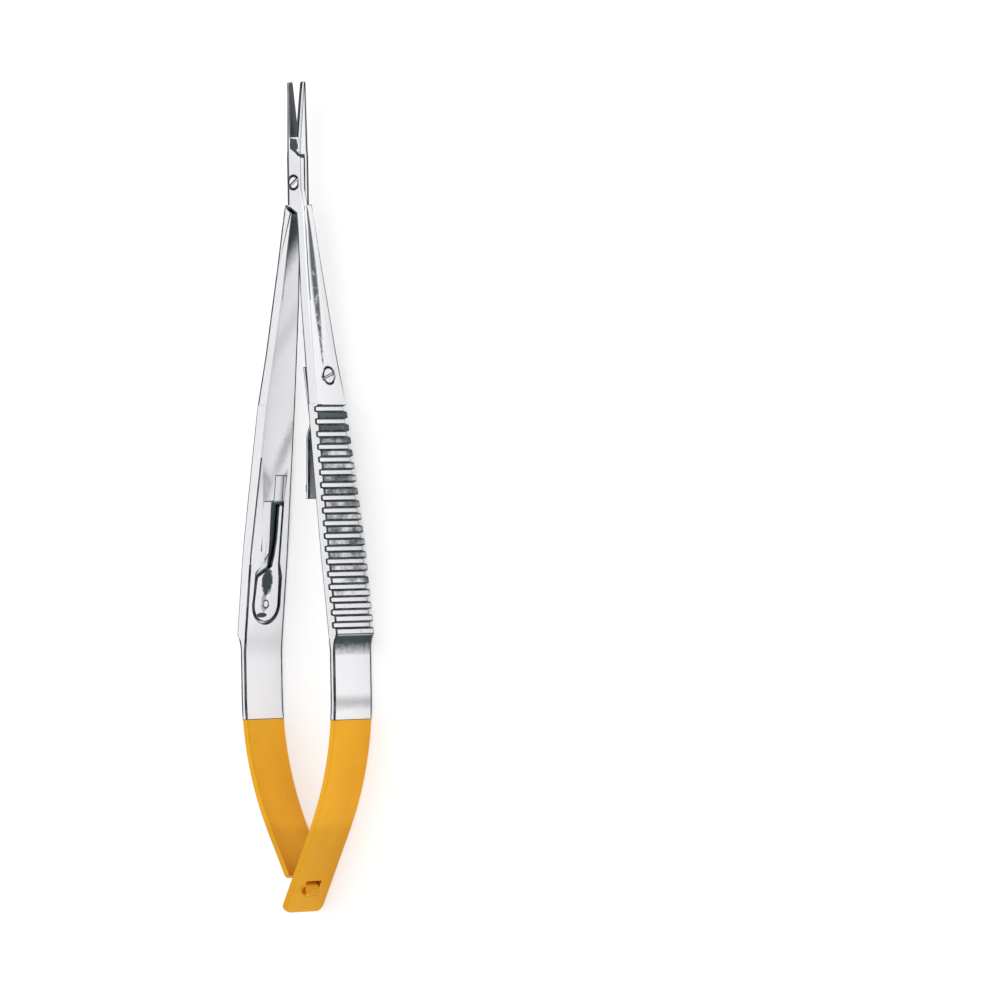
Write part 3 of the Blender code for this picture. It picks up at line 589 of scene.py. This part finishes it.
def drawRing(bm, surface, faces, width):
    made = bmesh.ops.inset_region(
        bm, faces=faces, thickness=width * mm, use_even_offset=False, use_boundary=True)
    inside = {vertex for face in faces for vertex in face.verts}
    for vertex in inside:
        others = [edge.other_vert(vertex) for edge in vertex.link_edges]
        roots = [other for other in others if other not in inside]
        if not roots:
            continue
        root = min(roots, key=lambda other: (other.co - vertex.co).length)
        step = vertex.co - root.co
        if surface.find_nearest(vertex.co)[3] > pieceShape["offSurface"] * mm:
            vertex.co = root.co
        elif step.length > pieceShape["longestCorner"] * width * mm:
            vertex.co = root.co + step.normalized() * width * mm
    ring = []
    for face in made["faces"]:
        outer = [vertex.co for vertex in face.verts if vertex not in inside]
        inner = [vertex.co for vertex in face.verts if vertex in inside]
        ring.append((face, middleOf(outer) - middleOf(inner)))
    return ring


def plainRing(side, place, outward):
    return edgeSlot


def plainBevel(normal, place):
    return edgeSlot


def onOutline(side, outward):
    if side == "up":
        return outward.x < -abs(outward.y)
    return outward.z < -abs(outward.y)


def markFlats(bm, slotOf, ringSlotOf=plainRing, bevelSlotOf=plainBevel, outlinedTo=None):
    surface = BVHTree.FromBMesh(bm)
    groups = {}
    for face in bm.faces:
        side = sideOf(face.normal)
        if side is None:
            face.material_index = bevelSlotOf(face.normal, faceMiddle(face))
            continue
        face.material_index = slotOf(side, face)
        if face.material_index != recessSlot:
            groups.setdefault((side, face.material_index), []).append(face)
    for (side, slot), faces in groups.items():
        width = pieceShape["ridgeLine"] if slot in fineSlots else pieceShape["edgeLine"]
        for face, outward in drawRing(bm, surface, faces, width):
            face.material_index = ringSlotOf(side, faceMiddle(face), outward)
        if outlinedTo is None or slot in fineSlots or side not in ("up", "right"):
            continue
        faces = [face for face in faces if faceMiddle(face).y < outlinedTo]
        if not faces:
            continue
        for face, outward in drawRing(bm, surface, faces, pieceShape["outlineExtra"]):
            outlined = onOutline(side, outward)
            face.material_index = ringSlotOf(side, faceMiddle(face), outward) if outlined else slot


def cutAcross(bm, places):
    for place in places:
        bmesh.ops.bisect_plane(
            bm, geom=bm.verts[:] + bm.edges[:] + bm.faces[:], dist=pieceShape["mergeDistance"] * mm,
            plane_co=(0, pivotPlace.y + place * mm, 0), plane_no=(0, 1, 0))


def finishPiece(bm, pieceName, finishNames, body, nodeName):
    mesh = bpy.data.meshes.new(pieceName)
    bm.to_mesh(mesh)
    bm.free()
    for name in finishNames:
        mesh.materials.append(finishes[name])
    mesh.shade_smooth()
    mesh.set_sharp_from_angle(angle=math.radians(pieceShape["sharpAngle"]))
    piece = bpy.data.objects.new(pieceName, mesh)
    bpy.context.collection.objects.link(piece)
    soften = piece.modifiers.new("softNormals", "WEIGHTED_NORMAL")
    soften.keep_sharp = True
    soften.weight = 60
    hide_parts(nodeName)
    if body:
        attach(piece, body)
    return piece


# the two halves; places are in millimetres from the pivot, along the arms

halfShape = {
    # the mouth is painted dark as shade
    "mouthFrom": 2.0,           # the dark mouth between the joint and the jaw inserts
    "mouthTo": 7.35,
    "jawFrom": 4.4,
    "outlinedTo": -4.1,         # below it the drawn outlines are wider
    "leftArmSoftFrom": -5.0,    # the left arm's front edge is softly rounded there
    "leftArmSoftTo": -46.0,
    "leftArmThinTo": -64.0,     # a thin line from there on, and a full one below
    "ridgesFrom": -37.4,
    "ridgesTo": -75.8,
    "grooveDepth": 0.45,
    "besideRidgesFrom": -37.3,  # above it the right arm's front edge is softly rounded
    "besideRidgesTo": -76.3,
    "recessFrom": -40.0,
    "recessHalfHeight": 3.6,
    "recessFloorDepth": 0.45,
    "recessWallDepth": 0.05,
    "lightWallsTo": -64.6,
    "rimFrom": 2.0,             # how far from mid depth an arm's own edges start
    "nearCut": 0.3,
    "cuts": {
        "front_half": ("besideRidgesTo", "besideRidgesFrom", "outlinedTo", "jawFrom", "mouthTo"),
        "rear_half": (
            "besideRidgesTo", "leftArmThinTo", "leftArmSoftTo", "besideRidgesFrom", "leftArmSoftFrom",
            "outlinedTo", "jawFrom"),
    },
}


# outward is 1 for the half whose ridges face right and -1 for the other

def makeHalf(nodeName, pieceName, armName, outward, body):
    shape = halfShape
    bm = takeShape(nodeName)
    cuts = [shape[name] for name in shape["cuts"][nodeName]]
    cutAcross(bm, cuts)
    reachAt = {}        # how far out the ridges reach, per millimetre
    for corner in [fromPivot(vertex.co) for vertex in bm.verts]:
        if shape["ridgesTo"] - 2 < corner.y < shape["ridgesFrom"] + 2:
            step = round(corner.y)
            reachAt[step] = max(reachAt.get(step, 0), outward * corner.x)

    def ridgeSlotAt(place):
        reach = max(reachAt.get(round(place.y) + more, 0) for more in (-1, 0, 1))
        return ridgeSlot if outward * place.x > reach - shape["grooveDepth"] else grooveSlot

    def recessSlotAt(side, face, place):
        depth = (leverPlace - face.calc_center_median()).dot(leverAxis) / mm
        if side == "right":
            return recessSlot if depth > shape["recessFloorDepth"] else None
        # below lightWallsTo the deeper walls take the dark edge finish, as painted shade
        if depth > shape["recessWallDepth"]:
            return grooveSlot if place.y > shape["lightWallsTo"] else edgeSlot
        return None

    def slotOf(side, face):
        place = faceMiddle(face)
        outerSide = "right" if outward > 0 else "left"
        if side == outerSide and shape["ridgesTo"] < place.y < shape["ridgesFrom"]:
            return ridgeSlotAt(place)
        nearRecess = place.y < shape["recessFrom"] and abs(place.z) < shape["recessHalfHeight"]
        if outward < 0 and nearRecess and side != "left":
            slot = recessSlotAt(side, face, place)
            if slot is not None:
                return slot
        # the mouth's wall gets painted shade
        inMouth = place.x < 0 and shape["mouthFrom"] < place.y < shape["mouthTo"]
        if outward > 0 and side == "right" and inMouth:
            return shadeSlot
        if side in ("up", "down") and shape["besideRidgesTo"] < place.y < shape["besideRidgesFrom"]:
            return besideRidgeSlot
        return ownSlot

    def softAt(place):
        if place.y > shape["jawFrom"]:
            return True
        if outward > 0:
            return place.y > shape["besideRidgesFrom"]
        return shape["leftArmSoftTo"] < place.y < shape["leftArmSoftFrom"] and place.x < 0

    def thinAt(place):
        return outward < 0 and place.x < 0 and shape["leftArmThinTo"] < place.y < shape["leftArmSoftTo"]

    def ringSlotOf(side, place, way):
        nearCut = any(abs(place.y - cut) < shape["nearCut"] for cut in cuts)
        if nearCut and side in ("up", "down") and abs(way.y) > abs(way.x):
            return ownSlot
        soft = softAt(place) or thinAt(place)
        if side == "up" and way.x > abs(way.y) and soft:
            return ownSlot
        if side == "right" and way.z > abs(way.y) and soft and abs(place.z) > shape["rimFrom"]:
            return ownSlot
        # so does the ring round the mouth
        if side == "right" and place.x < 0 and place.y > shape["jawFrom"]:
            return ownSlot if place.y > shape["mouthTo"] else shadeSlot
        return edgeSlot

    def bevelSlotOf(normal, place):
        return ownSlot if min(normal.x, normal.z) > 0.3 and softAt(place) else edgeSlot

    markFlats(bm, slotOf, ringSlotOf, bevelSlotOf, shape["outlinedTo"])
    finishNames = (armName, "edge", "ridge", "groove", "recess", "shade", armName)
    return finishPiece(bm, pieceName, finishNames, body, nodeName)


makeHalf("front_half", "frontHalf", "rightArm", 1, "front_body")
makeHalf("rear_half", "rearHalf", "leftArm", -1, "rear_body")
print("halves made")


# the catch and the screws; finishes are in the order of the slots above

smallPieces = {
    "catchStrip": {
        "node": "catch_strip", "body": "front_body", "recordSlot": "spring_steel",
        "finishes": ("plain", "edge", "plain", "plain", "plain", "shadedSide")},
    "catchLever": {
        "node": "catch_lever", "body": "lever_body", "recordSlot": "spring_steel",
        "finishes": ("lever", "edge")},
    "leverPin": {
        "node": "catch_lever_pin", "body": "rear_body", "recordSlot": "screws",
        "finishes": ("plain", "plain", "plain", "plain", "plain")},
    "catchScrew": {
        "node": "catch_screw", "body": "front_body", "recordSlot": "screws",
        "finishes": ("plain", "edge", "plain", "plain", "plain")},
    "pivotScrew": {
        "node": "pivot_screw", "body": "front_body", "recordSlot": "screws",
        "finishes": ("plain", "edge", "plain", "plain", "plain")},
}


# the strip's side that faces the arm gets painted shade
def stripSlotOf(side, face):
    return shadeSlot if side == "right" else ownSlot


def leverSlotOf(side, face):
    return ownSlot


def makeSmallPiece(pieceName, slotOf=None):
    piece = smallPieces[pieceName]
    bm = takeShape(piece["node"])
    highest = {}
    for face in bm.faces:
        side = sideOf(face.normal)
        highest[side] = max(highest.get(side, -1), face.normal.dot(face.calc_center_median()))

    def screwSlotOf(side, face):
        sunk = highest[side] - face.normal.dot(face.calc_center_median()) > pieceShape["sunkFrom"] * mm
        return recessSlot if sunk else ownSlot

    markFlats(bm, slotOf or screwSlotOf)
    return finishPiece(bm, pieceName, piece["finishes"], piece["body"], piece["node"])


makeSmallPiece("catchStrip", stripSlotOf)
makeSmallPiece("catchLever", leverSlotOf)
makeSmallPiece("leverPin")
makeSmallPiece("catchScrew")
makeSmallPiece("pivotScrew")
print("strip, lever and screws made")


def makeInsert(nodeName, pieceName, body):
    bm = takeShape(nodeName)
    return finishPiece(bm, pieceName, ("insert",), body, nodeName)


makeInsert("jaw_insert_left", "jawInsertLeft", "front_body")
makeInsert("jaw_insert_right", "jawInsertRight", "rear_body")
print("jaw inserts made")


leafShape = {
    "seamAt": -90.2,
    "seamReach": 0.2,
    "seamGap": 0.13,        # closed here, so that the plating starts right at the steel
    "crossingAt": -118.06,  # where the two leaves cross
}


def makeLeaf(nodeName, pieceName):
    bm = takeShape(nodeName)
    seam = pivotPlace.y + leafShape["seamAt"] * mm
    for vertex in bm.verts:
        if vertex.co.y > seam - leafShape["seamReach"] * mm:
            vertex.co.y += leafShape["seamGap"] * mm
    piece = finishPiece(bm, pieceName, ("gold",), None, nodeName)
    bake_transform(piece)
    return piece


makeLeaf("spring_leaf_right", "springLeafRight")
makeLeaf("spring_leaf_left", "springLeafLeft")
print("spring leaves made")


# floor, light and camera

studio = {
    "floorSize": 1.6,
    "floorTone": 0.72,
    "floorGlow": 0.42,       # for the camera only, so that the floor reads white
    "mirrorGlow": 0.34,      # for reflections
    "worldStrength": 0.97,
    "darkSpot": 0.5,         # the dimmer room behind the camera
    "darkSpotFade": (0.86, 0.97),
    "lampDistance": 0.9,
    "lampPlace": (0.3, 0.35, 1.0),
    "lampSize": 0.5,
    "lampPower": 0.55,
    "viewAngle": 41.0,      # turned about the instrument's length from looking straight down
    "roll": 0.95,
    "pixelsPerMetre": 5960.0,
    "pivotPixel": (298.0, 182.6),
    "lens": 400.0,
    "imageSize": 1000,
}


def makeFloor():
    size = studio["floorSize"]
    bm = bmesh.new()
    bmesh.ops.create_grid(bm, x_segments=1, y_segments=1, size=size)
    mesh = bpy.data.meshes.new("floor")
    bm.to_mesh(mesh)
    bm.free()
    floor = bpy.data.objects.new("floor", mesh)
    bpy.context.collection.objects.link(floor)
    material, tree, shader = startMaterial("paleFloor", 0.9, 0.0)
    tone = studio["floorTone"]
    shader.inputs["Base Color"].default_value = (tone, tone, tone, 1)
    shader.inputs["Specular IOR Level"].default_value = 0.0
    shader.inputs["Emission Color"].default_value = (1, 1, 1, 1)
    path = addNode(tree, "ShaderNodeLightPath")
    seen = times(tree, path.outputs["Is Camera Ray"], studio["floorGlow"])
    mirrored = times(tree, path.outputs["Is Glossy Ray"], studio["mirrorGlow"])
    tree.links.new(plus(tree, seen, mirrored), shader.inputs["Emission Strength"])
    mesh.materials.append(material)


def makeWorld():
    world = bpy.data.worlds.new("studioWorld")
    bpy.context.scene.world = world
    world.use_nodes = True
    tree = world.node_tree
    background = tree.nodes["Background"]
    direction = addNode(tree, "ShaderNodeTexCoord").outputs["Generated"]
    angle = math.radians(studio["viewAngle"])
    towards = addNode(tree, "ShaderNodeVectorMath", operation="DOT_PRODUCT")
    tree.links.new(direction, towards.inputs[0])
    towards.inputs[1].default_value = (math.sin(angle), 0, math.cos(angle))
    lit = falling(tree, towards.outputs["Value"], *studio["darkSpotFade"])
    level = plus(tree, studio["darkSpot"], times(tree, lit, studio["worldStrength"] - studio["darkSpot"]))
    camera = addNode(tree, "ShaderNodeLightPath").outputs["Is Camera Ray"]
    strength = mathNode(tree, "MAXIMUM", level, camera)
    background.inputs["Color"].default_value = (1, 1, 1, 1)
    tree.links.new(strength, background.inputs["Strength"])


def makeLamp():
    lamp = bpy.data.lights.new("keyLamp", "AREA")
    lamp.size = studio["lampSize"]
    lamp.energy = studio["lampPower"]
    holder = bpy.data.objects.new("keyLamp", lamp)
    bpy.context.collection.objects.link(holder)
    way = Vector(studio["lampPlace"]).normalized()
    holder.location = way * studio["lampDistance"]
    holder.rotation_mode = "QUATERNION"
    holder.rotation_quaternion = way.to_track_quat("Z", "Y")


def makeCamera():
    angle = math.radians(studio["viewAngle"])
    roll = math.radians(studio["roll"])
    toViewer = Vector((math.sin(angle), 0, math.cos(angle)))
    plainRight = Vector((math.cos(angle), 0, -math.sin(angle)))
    right = plainRight * math.cos(roll) - Vector((0, 1, 0)) * math.sin(roll)
    up = toViewer.cross(right)
    middle = studio["imageSize"] / 2
    offRight = (middle - studio["pivotPixel"][0]) / studio["pixelsPerMetre"]
    offUp = (studio["pivotPixel"][1] - middle) / studio["pixelsPerMetre"]
    target = pivotPlace + right * offRight + up * offUp
    data = bpy.data.cameras.new("camera")
    data.lens = studio["lens"]
    width = studio["imageSize"] / studio["pixelsPerMetre"]
    distance = width * data.lens / data.sensor_width
    data.clip_start = 0.05
    data.clip_end = 20
    camera = bpy.data.objects.new("camera", data)
    turn = Matrix((right, up, toViewer)).transposed().to_4x4()
    turn.translation = target + toViewer * distance
    camera.matrix_world = turn
    bpy.context.collection.objects.link(camera)
    bpy.context.scene.camera = camera


makeFloor()
makeWorld()
makeLamp()
makeCamera()
bpy.context.scene.view_settings.view_transform = "Standard"
print("floor, light and camera made")
